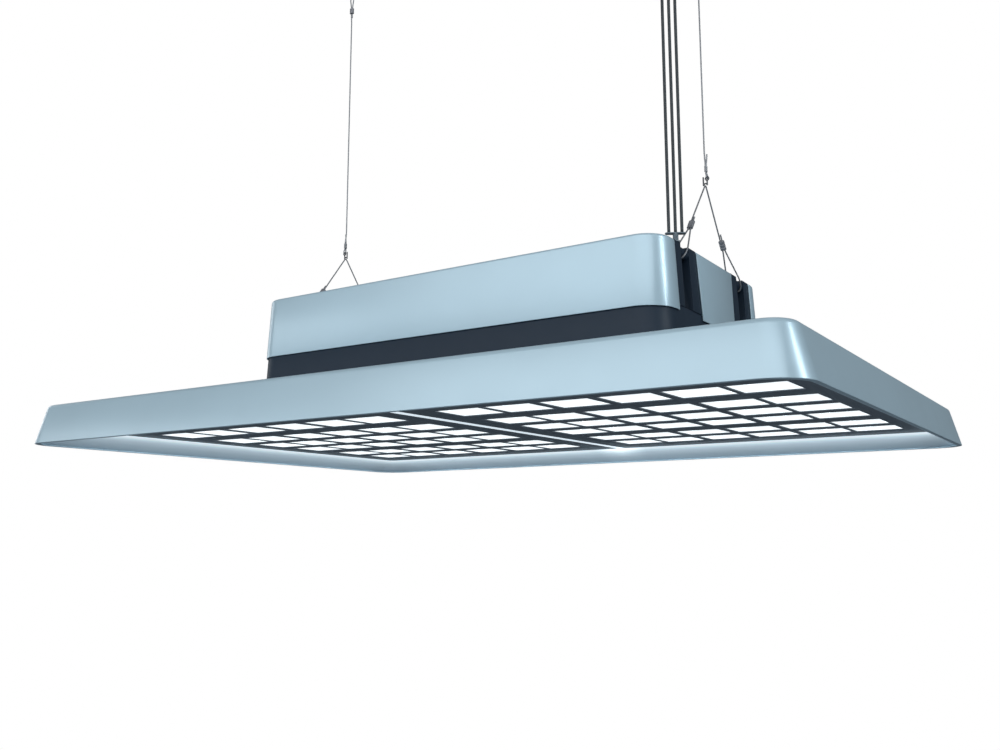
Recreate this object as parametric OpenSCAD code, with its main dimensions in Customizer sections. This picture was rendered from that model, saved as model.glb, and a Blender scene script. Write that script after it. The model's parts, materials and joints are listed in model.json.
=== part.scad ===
// Hanging LED grow light: a wide light tray under a power housing, carried by two wire slings.
// The origin lies between the two ceiling plates, on the ceiling. X runs along the lamp, Y across it, Z up.

/* [Hanging] */
// Height of the ceiling above the tray's rim
hang_drop = 920; // [900:1:1600]
// Distance of each drop wire from the lamp's middle
hanger_x = 345.5; // [344.5:0.5:347]
// Diameter of the drop wires and slings
wire_d = 2; // [1.6:0.1:2.2]

/* [Tray] */
// Length of the tray at its rim
tray_l = 1200; // [1190:1:1260]
// Width of the tray at its rim
tray_w = 877.5; // [870:0.5:920]
// Height of the tray
tray_h = 60; // [57:0.5:70]
// How far the flat top lies inside the rim
tray_in = 22; // [16:1:26]
// Radius of the tray's upright corners at the rim
tray_corner_r = 46; // [36:1:60]
// Radius of the tray's top edge
tray_edge_r = 8; // [4:0.5:10]
// Wall of the tray
tray_wall = 1.6; // [1.2:0.1:3]
// Width of the lip turned in under the rim
rim_lip = 7; // [6:0.5:9]

/* [Light panel] */
// Distance from the rim's outer edge to the light panel
bezel_in = 33.5; // [30:0.5:38]
// Height of the panel's lit face above the rim
panel_z = 25.2; // [23.8:0.2:26.6]
// Thickness of the face panel
panel_t = 2; // [1.5:0.5:4]
// Width of the strip between the two halves
divider_w = 15; // [10:0.5:18]

/* [Windows] */
// Side of one square window
window = 71.4; // [66:0.2:72]
// Columns of windows on each half
window_cols = 6; // [2:2:6]
// Distance from the middle line to the first column's edge
window_start = 48.2; // [46:0.2:49]
// Gap between the columns of an outer pair
col_gap_narrow = 6.7; // [6.2:0.1:7]
// Gap between the other columns
col_gap_wide = 11.9; // [11:0.1:12]
// Gap between the rows of one band
row_gap_narrow = 25.3; // [24:0.1:26]
// Gap between two bands of rows
row_gap_wide = 45; // [43:0.5:46]

/* [Housing] */
// Length of the housing at its top
box_l = 710; // [700:1:720]
// Width of the housing at its top
box_w = 377; // [370:1:400]
// Height of the housing's top above the rim
box_top = 242; // [240:0.5:244]
// Height of the pale covers' lower edge above the rim
cover_z = 146; // [136:1:152]
// Lean of the housing's sides
box_draft = 3; // [2:0.1:3.5]
// Radius of the housing's upright corners
box_corner_r = 38; // [32:1:44]
// Radius of the housing's top edge
box_edge_r = 4; // [3:0.5:5]
// Wall of the covers
cover_t = 1.6; // [1.2:0.1:2.4]
// How far the dark plinth lies inside the covers
plinth_in = 2.8; // [2.7:0.1:4]

/* [Hanger brackets] */
// Inner edge of a bracket at the top, from the middle line
bracket_y0 = 66; // [62:1:70]
// Outer edge of a bracket, from the middle line
bracket_y1 = 140; // [134:1:142]
// How much nearer to the middle line the inner edge lies at the covers' lower edge
bracket_lean = 6; // [3:0.5:8]
// Distance of the groove's middle from the middle line
groove_y = 104; // [102:0.5:106]
// Width of the groove
groove_w = 26.5; // [25:0.5:30]
// Distance of the groove's floor from the lamp's middle
groove_floor_x = 322; // [318:1:325]
// Diameter of the bar across a groove
bar_d = 16; // [14:0.5:16.5]
// Height of the bar's axis above the rim
bar_z = 232; // [231:0.5:232.5]

/* [Cable gland] */
// Length of the gland's oblong disc
gland_disc_l = 28; // [25:1:31]
// Width of the gland's oblong disc
gland_disc_w = 8; // [7:0.5:10]
// Diameter of the gland's stem
gland_stem_d = 7.6; // [7:0.1:9]
// Height of the stem above the housing
gland_stem_h = 11; // [10:0.5:12]
// Diameter of each power lead
lead_d = 4.2; // [3.6:0.1:4.4]

/* [Heat sinks] */
// Height of the cooling fins
fin_h = 10; // [4:1:14]
// Thickness of a fin
fin_t = 2; // [1.5:0.1:3]
// Distance from fin to fin
fin_pitch = 12; // [8:0.5:20]

/* [Hidden] */

LEFT = -1;
RIGHT = 1;
FRONT = -1;
REAR = 1;
seat = 0.3; // clearance of pieces that seat beside each other
slip = 0.05; // radial clearance of a bar in its holes
far = 2000; // longer than anything here, for cutting tools
row_bands = [2, 3, 2]; // rows of windows in each band, front to rear

pale = "#bcd8dc";
dark = "#2c3c4b";
slate = "#4c5660";
steel = "#8c8f91";
zinc = "#6d7176";
alu = "#b9bdc0";

// ---- the tray's section
tray_span = norm([tray_in, tray_h - tray_edge_r]);
// Angle of the fascia from upright
tray_lean = atan(tray_in / (tray_h - tray_edge_r)) - asin(tray_edge_r / tray_span);
// Inset of the fascia's outer face at a height
function fascia_in(z) = z * tan(tray_lean);

// ---- the lamp's layers, upwards from the panel
panel_top = panel_z + panel_t;
lens_h = 6; // height of a lens
pocket_h = 3; // depth of the pocket over a lens for its LED
lens_in = 1.4; // how far the lenses sit inside the panel's face
board_z = panel_z + lens_in + lens_h;
board_t = 1.6;
plate_z = board_z + board_t;
plate_t = 3;
rail_z = plate_z + plate_t;
skin_z = tray_h - tray_wall; // underside of the tray's top
panel_lap = 6; // how far the panel reaches over the bezel's inner edge
bezel_t = 1.2;
panel_l = tray_l - 2 * bezel_in;
panel_w = tray_w - 2 * bezel_in;
rail_y = 330; // end of a cross rail, from the middle line
rail_x = [120, hanger_x - 15, 500]; // places of the cross rails, from the middle
rail_w = 40;

// ---- the windows' places
col_gaps = [for (c = [1:window_cols - 1])
  c == 1 || c == window_cols - 1 ? col_gap_narrow : col_gap_wide];
window_rows = sum_of(row_bands, len(row_bands));
row_gaps = [for (r = [1:window_rows - 1])
  r == row_bands[0] || r == window_rows - row_bands[2] ? row_gap_wide : row_gap_narrow];
function sum_of(v, n) = n == 0 ? 0 : v[n - 1] + sum_of(v, n - 1);
// Middle of a window, counted from the first window's near edge
function window_at(gaps, n) = window * (n + 0.5) + sum_of(gaps, n);
rows_w = window_at(row_gaps, window_rows - 1) + window / 2;
window_x = [for (c = [0:window_cols - 1]) window_start + window_at(col_gaps, c)];
window_y = [for (r = [0:window_rows - 1]) window_at(row_gaps, r) - rows_w / 2];

// ---- the housing
top_plate_z = box_top - 2 * cover_t; // underside of the plate under the covers' flanges
cover_lip = 12; // width of the covers' top flange
lap_h = 8; // how far the covers hang over the plinth
plinth_t = 1.6;
plinth_foot = 16; // width of the flange under the plinth
// Outward lean of the housing's sides below its top
function draft_at(z) = (box_top - z) * tan(box_draft);
bracket_in = 1.8; // how far the brackets' faces lie inside the covers
bracket_back_x = 316; // back of a bracket, from the lamp's middle
bracket_wall = 4;
bar_seat = 6; // how far a bar reaches into each cheek

// ---- the hanging parts, in heights above the rim
wire_r = wire_d / 2;
link_rod_r = 2;
eye_rod_r = 2.5;
eye_ring_r = 9;
eye_z = hang_drop - 30; // axis that a link swings on
link_c = 22; // distance between a link's two bearing points
pivot_z = eye_z - link_c; // axis that a drop wire swings on
link_bend_r = eye_rod_r + link_rod_r + 0.6;
plate_d = 50;
ceiling_plate_t = 4;
ceiling_hole_r = 2.5;
ceiling_hole_y = 17;
hook_rod_r = 1.1;
hook_low_r = 2.9;
hook_eye_r = 2.4;
ferrule_r = 3; // half the thickness of a sling's crimped ferrule
strand = 1.2; // offset of each strand in a sleeve
ferrule_strand = 1.4; // offset of each strand in a sling's ferrule
strand_bore_r = wire_r + 0.15;

// Routes of the wires, from the hanger's line outwards, with heights above the rim.
// A sling's half route runs from its tail, round a bar and up to the hook.
sling_half = [[1.4, 49, 297], [1.4, 55, 289], [1.4, 64, 277.5], [10.2, 98, 239], [9.8, 103, 232],
  [8.5, 107, 227.1], [4.9, 108, 223.5], [0, 108.5, 222.2], [-4.9, 108, 223.5], [-8.5, 107, 227.1],
  [-9.8, 103, 232], [-9.3, 99, 237], [-1.4, 64, 277.5], [-1.4, 55, 289], [0, 5, 353], [0, 2, 356.8]];
sling_top = [0, 0, 357.4];
ferrule_low = [0, 64, 277.5];
ferrule_high = [0, 55, 289];
// A drop wire runs from its upper tail over the link, down to the hook and up to its lower tail
drop_route = [[-1.2, 0, 830], [-1.2, 0, 850], [-3.8, 0, 866.5], [-2.9, 0, 870.6], [0, 0, 872],
  [2.9, 0, 870.6], [3.8, 0, 866.5], [1.2, 0, 850], [1.2, 0, 838], [0, 0, 820], [0, 0, 404],
  [1.6, -1.2, 388], [1.6, -1.2, 377], [2.9, -2.6, 372], [2.9, -2.2, 369.1], [2.9, 0, 368],
  [2.9, 2.2, 369.1], [2.9, 2.6, 372], [1.6, 1.2, 377], [1.6, 1.2, 388], [3.2, 1.8, 405]];
top_ferrule_z = [839, 849];
sleeve_z = [378, 387];
sleeve_x = 1.6;
sleeve_r = 1.8; // half the thickness of the slim sleeve over a hook
hook_z = 355; // middle of the hook's rod at its lowest
hook_eye_z = 368; // middle of the eye at the top of a hook

// The leads stand up from the gland and lean over to the clip on the right wire
gland_disc_t = 2;
gland_turn = 30; // turn of the gland's disc from the lamp's length
gland_base_d = 12;
gland_at = [hanger_x + 3.5, -(groove_y + groove_w / 2 + gland_stem_d / 2 + 1)];
lead_z = 600; // where the leads start to lean
clip_z = [800, 812];
clip_l = 36;
clip_w = 24;
lead_foot = [[341.5, -126.5], [349, -122], [356.5, -118]];
lead_head = [[332, -14], [345, -14], [358, -14]];
lead_end_z = 830;
connector_h = 34;
connector_d = 11;
lead_base = box_top + gland_stem_h + gland_disc_t;

// ---- tools

// Places things that are drawn with heights above the tray's rim
module lamp() translate([0, 0, -hang_drop]) children();

// Draws things for the right end at either end
module at_end(side) mirror([side < 0 ? 1 : 0, 0, 0]) children();

// Draws things for the rear at either side
module at_side(side) mirror([0, side < 0 ? 1 : 0, 0]) children();

// Sweeps a section round a rounded rectangle. The section's x runs outward from the corners' centres.
module swept_frame(l, w, r) {
  half = [l / 2 - r, w / 2 - r];
  for (i = [0:3]) rotate([0, 0, 90 * i]) translate([half[i % 2], half[(i + 1) % 2], 0]) {
    rotate([90, 0, 0]) linear_extrude(2 * half[(i + 1) % 2]) children();
    rotate_extrude(angle = 90, $fn = 96) children();
  }
}

// A rectangle with round corners
module rounded_outline(l, w, r) {
  square([l - 2 * r, w], center = true);
  square([l, w - 2 * r], center = true);
  for (x = [-1, 1], y = [-1, 1]) translate([x * (l / 2 - r), y * (w / 2 - r)]) circle(r, $fn = 96);
}

function arc(c, r, a0, a1, n) = [for (i = [0:n]) let(a = a0 + (a1 - a0) * i / n)
  [c[0] + r * cos(a), c[1] + r * sin(a)]];

function unit(v) = v / norm(v);
function along(p, i) = unit(p[min(i + 1, len(p) - 1)] - p[max(i - 1, 0)]);
// Carries a normal along a route without twist
function carried(p, i, n) = let(t = along(p, i), m = unit(n - (n * t) * t))
  i == len(p) - 1 ? [m] : concat([m], carried(p, i + 1, m));

// A round tube along a route of points
module tube(p, r, start, sides = 8) {
  n = carried(p, 0, start);
  rings = [for (i = [0:len(p) - 1], k = [0:sides - 1])
    let(b = cross(along(p, i), n[i]), a = 360 * k / sides) p[i] + r * (cos(a) * n[i] + sin(a) * b)];
  last = sides * (len(p) - 1);
  walls = [for (i = [0:len(p) - 2], k = [0:sides - 1])
    let(a = i * sides + k, b = i * sides + (k + 1) % sides) [a, a + sides, b + sides, b]];
  polyhedron(rings, concat(walls, [[for (k = [0:sides - 1]) k]], [[for (k = [sides - 1:-1:0]) last + k]]));
}

// A bent piece of round rod, in the X-Z plane about its bend's centre
module rod_bend(r, rod_r, from, turn) {
  rotate([90, 0, 0]) rotate([0, 0, from]) rotate_extrude(angle = turn, $fn = 48)
    translate([r, 0]) circle(rod_r, $fn = 24);
}

// Two strands' section, for ferrules and sleeves
module twin_section(r, gap) {
  square([2 * gap, 2 * r], center = true);
  for (x = [-gap, gap]) translate([x, 0]) circle(r, $fn = 32);
}

// A crimped ferrule over two strands, standing on its end
module ferrule(h, r, gap) {
  linear_extrude(h) difference() {
    twin_section(r, gap);
    for (x = [-gap, gap]) translate([x, 0]) circle(strand_bore_r, $fn = 24);
  }
}

// ---- at the ceiling

module ceiling_plate(side) color(alu) at_end(side) {
  translate([hanger_x, 0, -ceiling_plate_t]) difference() {
    cylinder(h = ceiling_plate_t, d = plate_d, $fn = 96);
    for (y = [-ceiling_hole_y, ceiling_hole_y]) translate([0, y, -1]) {
      cylinder(h = ceiling_plate_t + 2, r = ceiling_hole_r, $fn = 48);
      cylinder(h = 3, r1 = ceiling_hole_r + 3, r2 = ceiling_hole_r, $fn = 48);
    }
  }
}

module ceiling_eye(side) color(steel) at_end(side) {
  ring_z = eye_z - hang_drop + eye_ring_r;
  collar_h = 3;
  translate([hanger_x, 0, ring_z]) {
    rotate([90, 0, 0]) rotate_extrude($fn = 64) translate([eye_ring_r, 0]) circle(eye_rod_r, $fn = 32);
    translate([0, 0, eye_ring_r])
      cylinder(h = -ceiling_plate_t - ring_z - eye_ring_r, r = eye_rod_r, $fn = 32);
    translate([0, 0, -ceiling_plate_t - ring_z - collar_h])
      cylinder(h = collar_h, r = eye_rod_r + 3, $fn = 48);
  }
}

// An oval link that joins a ceiling eye to a wire's eye
module link(side) color(steel) at_end(side) {
  top_z = eye_z - hang_drop;
  low_z = pivot_z - hang_drop + link_bend_r;
  translate([hanger_x, 0, 0]) rotate([0, 0, 90]) {
    translate([0, 0, top_z]) rod_bend(link_bend_r, link_rod_r, 0, 180);
    translate([0, 0, low_z]) rod_bend(link_bend_r, link_rod_r, 180, 180);
    for (x = [-link_bend_r, link_bend_r]) translate([x, 0, low_z])
      cylinder(h = top_z - low_z, r = link_rod_r, $fn = 24);
  }
}

// ---- drop wires and slings

module hanger(side) lamp() at_end(side) translate([hanger_x, 0, 0]) children();

module wire(side) color(steel) hanger(side) tube(drop_route, wire_r, [0, 1, 0]);

module top_ferrule(side) color(zinc) hanger(side)
  translate([0, 0, top_ferrule_z[0]]) ferrule(top_ferrule_z[1] - top_ferrule_z[0], ferrule_r, strand);

module tail_sleeve(side) color(zinc) hanger(side)
  translate([sleeve_x, 0, sleeve_z[0]]) rotate([0, 0, 90])
    ferrule(sleeve_z[1] - sleeve_z[0], sleeve_r, strand);

// A hook with an open lower bend for the sling and a closed eye for the drop wire
module hook(side) color("#3f4547") hanger(side) {
  low_z = hook_z + hook_low_r;
  tip_h = 13;
  translate([0, 0, low_z]) rod_bend(hook_low_r, hook_rod_r, 180, 180);
  translate([-hook_low_r, 0, low_z]) cylinder(h = tip_h, r = hook_rod_r, $fn = 24);
  translate([hook_low_r, 0, low_z])
    cylinder(h = hook_eye_z - hook_eye_r - low_z, r = hook_rod_r, $fn = 24);
  translate([hook_low_r, 0, hook_eye_z]) rotate([90, 0, 0]) rotate_extrude($fn = 48)
    translate([hook_eye_r, 0]) circle(hook_rod_r, $fn = 24);
}

module bridle(side) color(steel) hanger(side) {
  front = [for (p = sling_half) [p[0], -p[1], p[2]]];
  rear = [for (i = [len(sling_half) - 1:-1:0]) sling_half[i]];
  tube(concat(front, [sling_top], rear), wire_r, [1, 0, 0]);
}

module ferrules(side) color(zinc) hanger(side) for (y = [FRONT, REAR]) at_side(y) {
  reach = ferrule_high - ferrule_low;
  translate(ferrule_low) rotate([atan2(-reach[1], reach[2]), 0, 0]) ferrule(norm(reach), ferrule_r, ferrule_strand);
}

// ---- tray and light panel

// The tray's wall: a turned-in lip, a leaning fascia and a rounded top edge
module tray_section() {
  top = [tray_corner_r - tray_in, tray_h - tray_edge_r];
  inner_r = tray_edge_r - tray_wall;
  shift = tray_wall / cos(tray_lean);
  polygon(concat(
    [[tray_corner_r, 0]],
    arc(top, tray_edge_r, tray_lean, 90, 8),
    [[top[0] - 1, tray_h], [top[0] - 1, skin_z]],
    arc(top, inner_r, 90, tray_lean, 8),
    [[tray_corner_r - shift - fascia_in(tray_wall), tray_wall],
      [tray_corner_r - rim_lip, tray_wall], [tray_corner_r - rim_lip, 0]]));
}

module tray_shell() color(pale) lamp() {
  swept_frame(tray_l, tray_w, tray_corner_r) tray_section();
  inset = 2 * (tray_in + 1);
  translate([0, 0, skin_z]) linear_extrude(tray_wall)
    rounded_outline(tray_l - inset, tray_w - inset, tray_corner_r - tray_in - 1);
}

// The sloping strip between the rim's lip and the light panel
module rim_bezel() color("#dfe9ec") lamp() {
  inner = tray_corner_r - bezel_in;
  outer = tray_corner_r - tray_wall / cos(tray_lean) - fascia_in(tray_wall) - 1.5;
  swept_frame(tray_l, tray_w, tray_corner_r) polygon([
    [inner, panel_z], [inner, panel_z - bezel_t], [outer - 0.8, tray_wall], [outer, tray_wall],
    [outer, tray_wall + bezel_t], [inner + panel_lap + 1, panel_z - bezel_t],
    [inner + panel_lap + 1, panel_z]]);
}

module centre_divider() color("white") lamp()
  translate([-divider_w / 2, -panel_w / 2 - panel_lap, panel_z])
    cube([divider_w, panel_w + 2 * panel_lap, panel_t]);

// Draws something at each window of one half
module at_windows(side) for (x = window_x, y = window_y) translate([side * x, y, 0]) children();

module face_panel(side) color(slate) lamp() difference() {
  edge = divider_w / 2 + 0.05;
  translate([side > 0 ? edge : -panel_l / 2 - panel_lap, -panel_w / 2 - panel_lap, panel_z])
    cube([panel_l / 2 + panel_lap - edge, panel_w + 2 * panel_lap, panel_t]);
  at_windows(side) translate([0, 0, panel_z + panel_t / 2])
    cube([window + seat, window + seat, panel_t + 2], center = true);
}

module lenses(side) color("#f7ffff") lamp() at_windows(side)
  translate([0, 0, panel_z + lens_in]) difference() {
  translate([-window / 2, -window / 2, 0]) cube([window, window, lens_h]);
  pocket = window - 14;
  translate([-pocket / 2, -pocket / 2, lens_h - pocket_h]) cube([pocket, pocket, pocket_h + 1]);
}

board_margin = 8;
board_x = window_start - board_margin;
board_l = window_x[window_cols - 1] + window / 2 + board_margin - board_x;

// One long board over each band of rows
module led_boards(side) color("#e8ecea") lamp() for (band = [0:len(row_bands) - 1]) {
  first = sum_of(row_bands, band);
  y0 = window_y[first] - window / 2 - board_margin;
  y1 = window_y[first + row_bands[band] - 1] + window / 2 + board_margin;
  translate([side > 0 ? board_x : -board_x - board_l, y0, board_z]) cube([board_l, y1 - y0, board_t]);
}

module led_chips(side) color("#f2e27a") lamp() at_windows(side)
  translate([0, 0, board_z - 1.5]) cylinder(h = 1.5, d = 22, $fn = 32);

module base_plate(side) color(alu) lamp() {
  edge = divider_w / 2 + 1;
  l = panel_l / 2 - 12 - edge;
  translate([side > 0 ? edge : -edge - l, -panel_w / 2 + 12, plate_z]) cube([l, panel_w - 24, plate_t]);
}

// Channels that join the base plates to the tray's top
module cross_rails() color(alu) lamp() for (side = [LEFT, RIGHT], x = rail_x)
  translate([side * x, 0, rail_z]) difference() {
    translate([-rail_w / 2, -rail_y, 0]) cube([rail_w, 2 * rail_y, skin_z - rail_z]);
    translate([-rail_w / 2 + 3, -rail_y - 1, 3]) cube([rail_w - 6, 2 * rail_y + 2, skin_z - rail_z - 6]);
  }

// ---- on the tray

sink_x0 = box_l / 2 + 27; // inner edge of a heat sink, from the lamp's middle
sink_x1 = tray_l / 2 - 54;
sink_w = tray_w - 258;
sink_base = 3;

module heat_sink(side) color(alu) lamp() at_end(side) translate([sink_x0, -sink_w / 2, tray_h]) {
  l = sink_x1 - sink_x0;
  cube([l, sink_w, sink_base]);
  fins = floor((l - fin_t) / fin_pitch);
  first = (l - fins * fin_pitch - fin_t) / 2;
  for (i = [0:fins]) translate([first + i * fin_pitch, 0, sink_base - 0.5])
    cube([fin_t, sink_w, fin_h + 0.5]);
}

module housing_frame() swept_frame(box_l, box_w, box_corner_r) children();

module plinth() color(dark) lamp() {
  top = cover_z + lap_h;
  out_low = box_corner_r + draft_at(tray_h) - plinth_in;
  out_top = box_corner_r + draft_at(top) - plinth_in;
  foot = out_low - plinth_foot;
  housing_frame() polygon([[out_low, tray_h], [out_top, top], [out_top - plinth_t, top],
    [out_low - plinth_t, tray_h + plinth_t], [foot, tray_h + plinth_t], [foot, tray_h]]);
}

// The covers' section: a leaning wall, a rounded top edge and a flange turned in
module cover_section() {
  low = box_corner_r + draft_at(cover_z);
  turn = [box_corner_r - box_edge_r, box_top - box_edge_r];
  polygon(concat(
    [[low - cover_t, cover_z], [low, cover_z]],
    arc(turn, box_edge_r, box_draft, 90, 6),
    [[box_corner_r - cover_lip, box_top], [box_corner_r - cover_lip, box_top - cover_t]],
    arc(turn, box_edge_r - cover_t, 90, box_draft, 6)));
}

module cover(side) color(pale) lamp() at_side(side) intersection() {
  housing_frame() cover_section();
  translate([-far / 2, bracket_y1, 0]) cube([far, far, far]);
}

module end_panel(side) color(pale) lamp() at_end(side) intersection() {
  housing_frame() cover_section();
  low = bracket_y0 - bracket_lean;
  translate([bracket_back_x, 0, 0]) rotate([90, 0, 90]) linear_extrude(far) polygon([
    [-low, cover_z - lap_h], [low, cover_z - lap_h], [bracket_y0, box_top], [-bracket_y0, box_top]]);
}

module bracket_footprint() {
  translate([bracket_back_x - seat, bracket_y0 - bracket_lean])
    square([100, bracket_y1 - bracket_y0 + bracket_lean + seat]);
}

module top_cover() color(pale) lamp() translate([0, 0, top_plate_z]) linear_extrude(cover_t)
  difference() {
    inset = box_edge_r + seat;
    rounded_outline(box_l - 2 * inset, box_w - 2 * inset, box_corner_r - inset);
    for (x = [0, 1], y = [0, 1]) mirror([x, 0]) mirror([0, y]) bracket_footprint();
  }

// A dark bracket with an upright groove that a bar crosses. Its cheeks are hollow from behind.
module bracket(end, side) color(dark) lamp() at_end(end) at_side(side) difference() {
  face_top = box_l / 2 - bracket_in;
  shoulder = cover_z + lap_h + seat;
  inside = box_l / 2 + draft_at(shoulder) - plinth_in - plinth_t - seat;
  foot_x = box_l / 2 + draft_at(tray_h) - plinth_in - plinth_foot - seat;
  foot_z = tray_h + plinth_t + seat;
  intersection() {
    translate([0, bracket_y1 - seat, 0]) rotate([90, 0, 0]) linear_extrude(bracket_y1) polygon([
      [bracket_back_x, tray_h], [foot_x, tray_h], [foot_x, foot_z], [inside, foot_z], [inside, shoulder],
      [face_top + draft_at(shoulder), shoulder], [face_top, box_top - 0.5], [face_top - 0.5, box_top],
      [bracket_back_x, box_top]]);
    rotate([90, 0, 90]) linear_extrude(far) polygon([
      [bracket_y0 - bracket_lean + seat, 0], [bracket_y1 - seat, 0], [bracket_y1 - seat, box_top],
      [bracket_y0 + seat, box_top], [bracket_y0 - bracket_lean + seat, cover_z - lap_h]]);
  }
  translate([groove_floor_x, groove_y - groove_w / 2, shoulder - 60]) cube([far, groove_w, far]);
  bar_place() cylinder(h = groove_w + 2 * bar_seat, d = bar_d + 2 * slip, $fn = 64);
  cheeks = [[bracket_y0 + bracket_wall, groove_y - groove_w / 2 - bar_seat - 2],
    [groove_y + groove_w / 2 + bar_seat + 2, bracket_y1 - bracket_wall]];
  for (y = cheeks) translate([bracket_back_x - 1, y[0], foot_z + bracket_wall])
    cube([inside - bracket_back_x - bracket_wall, y[1] - y[0], bar_z - bar_d - foot_z - bracket_wall]);
}

// A bar's place on the rear right bracket, from its inner end
module bar_place() translate([hanger_x, groove_y + groove_w / 2 + bar_seat, bar_z])
  rotate([90, 0, 0]) children();

module hanger_bars() color(steel) lamp() for (end = [LEFT, RIGHT], side = [FRONT, REAR])
  at_end(end) at_side(side) bar_place() cylinder(h = groove_w + 2 * bar_seat, d = bar_d, $fn = 64);

// ---- inside the housing

bay_l = box_l - 115; // the driver tray's length
bay_w = box_w - 77;
driver_x = 30;
driver_l = 250;
driver_w = 80;
driver_h = 44;

module driver_tray() color(alu) lamp() translate([-bay_l / 2, -bay_w / 2, tray_h]) difference() {
  cube([bay_l, bay_w, 10]);
  translate([10, -1, -1]) cube([bay_l - 20, bay_w + 2, 9]);
}

module driver(side) color("#202428") lamp() at_end(side)
  translate([driver_x, -driver_w / 2, tray_h + 10]) {
  cube([driver_l, driver_w, driver_h]);
  for (i = [0:8]) translate([12 + i * (driver_l - 30) / 8, 4, driver_h - 1]) cube([6, driver_w - 8, 6]);
}

module terminal_block() color("#d8d4c4") lamp() translate([200, -120, tray_h + 10]) difference() {
  cube([72, 24, 20]);
  for (i = [0:5]) translate([6 + 12 * i, 12, 12]) {
    cylinder(h = 9, d = 5, $fn = 24);
    translate([0, 13, -6]) rotate([90, 0, 0]) cylinder(h = 8, d = 4, $fn = 24);
  }
}

// ---- gland and leads

module gland_stem() color(dark) lamp() translate([gland_at[0], gland_at[1], box_top]) {
  cylinder(h = gland_stem_h, d = gland_stem_d, $fn = 48);
  cylinder(h = 2, d = gland_base_d, $fn = 6);
}

// A thin oblong disc that keeps the leads apart
module gland_disc() color("#3c4a52") lamp()
  translate([gland_at[0], gland_at[1], box_top + gland_stem_h]) rotate([0, 0, gland_turn])
  linear_extrude(gland_disc_t) rounded_outline(gland_disc_l, gland_disc_w, gland_disc_w / 2 - 0.1);

module power_lead(i) color("#262b2e") lamp() {
  foot = lead_foot[i];
  head = lead_head[i];
  lean = head[0] - foot[0];
  tube([[foot[0], foot[1], lead_base], [foot[0], foot[1], lead_z],
    [foot[0] + lean / 4, foot[1] + 12, lead_z + 50], [head[0] - lean / 4, head[1] - 12, clip_z[0] - 50],
    [head[0], head[1], clip_z[0]], [head[0], head[1], lead_end_z]], lead_d / 2, [1, 0, 0], 10);
}

module lead_connectors() color("#1d2023") lamp() for (p = lead_head) translate([p[0], p[1], lead_end_z]) {
  cylinder(h = 8, d1 = lead_d + 3, d2 = connector_d, $fn = 48);
  translate([0, 0, 8]) cylinder(h = connector_h - 8, d = connector_d, $fn = 48);
}

// Ties the three leads to the right drop wire
module lead_clip() color("#30363a") lamp() translate([0, 0, clip_z[0]]) difference() {
  clip_h = clip_z[1] - clip_z[0];
  translate([hanger_x - clip_l / 2, lead_head[0][1] - 6, 0]) cube([clip_l, clip_w, clip_h]);
  translate([hanger_x, 0, -1]) cylinder(h = clip_h + 2, r = strand_bore_r, $fn = 24);
  for (p = lead_head) translate([p[0], p[1], -1]) cylinder(h = clip_h + 2, d = lead_d + seat, $fn = 24);
}

// ---- screws

// A pan head with a cross recess, standing on a face
module screw_head(d) difference() {
  cylinder(h = d * 0.35, d1 = d, d2 = d * 0.7, $fn = 32);
  for (a = [0, 90]) rotate([0, 0, a]) translate([-d * 0.28, -d * 0.06, d * 0.15])
    cube([d * 0.56, d * 0.12, d]);
}

cover_screw_gap = box_l / 9;

module cover_screws() color(steel) lamp() for (end = [LEFT, RIGHT], side = [FRONT, REAR], i = [0:3])
  translate([end * (i + 0.5) * cover_screw_gap, side * (box_w / 2 - 8), box_top]) screw_head(7);

tray_screw_y = [0.26 * tray_w, 0.36 * tray_w];

module tray_screws() color(steel) lamp() for (end = [LEFT, RIGHT], side = [FRONT, REAR], y = tray_screw_y,
  x = [rail_x[0], rail_x[1]]) translate([end * x, side * y, tray_h]) screw_head(8);

ceiling_plate(LEFT);  // ceiling_plate_left
ceiling_plate(RIGHT);  // ceiling_plate_right
ceiling_eye(LEFT);  // ceiling_eye_left
ceiling_eye(RIGHT);  // ceiling_eye_right
link(LEFT);  // link_left
link(RIGHT);  // link_right
wire(LEFT);  // wire_left
wire(RIGHT);  // wire_right
top_ferrule(LEFT);  // top_ferrule_left
top_ferrule(RIGHT);  // top_ferrule_right
tail_sleeve(LEFT);  // tail_sleeve_left
tail_sleeve(RIGHT);  // tail_sleeve_right
hook(LEFT);  // hook_left
hook(RIGHT);  // hook_right
bridle(LEFT);  // bridle_left
bridle(RIGHT);  // bridle_right
ferrules(LEFT);  // ferrules_left
ferrules(RIGHT);  // ferrules_right
tray_shell();
rim_bezel();
centre_divider();
face_panel(LEFT);  // panel_left
face_panel(RIGHT);  // panel_right
lenses(LEFT);  // lenses_left
lenses(RIGHT);  // lenses_right
led_boards(LEFT);  // led_boards_left
led_boards(RIGHT);  // led_boards_right
led_chips(LEFT);  // led_chips_left
led_chips(RIGHT);  // led_chips_right
base_plate(LEFT);  // base_plate_left
base_plate(RIGHT);  // base_plate_right
cross_rails();
heat_sink(LEFT);  // heat_sink_left
heat_sink(RIGHT);  // heat_sink_right
plinth();
cover(FRONT);  // front_cover
cover(REAR);  // rear_cover
top_cover();
end_panel(LEFT);  // end_panel_left
end_panel(RIGHT);  // end_panel_right
bracket(LEFT, FRONT);  // bracket_left_front
bracket(LEFT, REAR);  // bracket_left_rear
bracket(RIGHT, FRONT);  // bracket_right_front
bracket(RIGHT, REAR);  // bracket_right_rear
hanger_bars();
driver(LEFT);  // driver_left
driver(RIGHT);  // driver_right
driver_tray();
terminal_block();
gland_stem();
gland_disc();
cover_screws();
tray_screws();
power_lead(0);  // power_lead_1
power_lead(1);  // power_lead_2
power_lead(2);  // power_lead_3
lead_connectors();
lead_clip();
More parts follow.
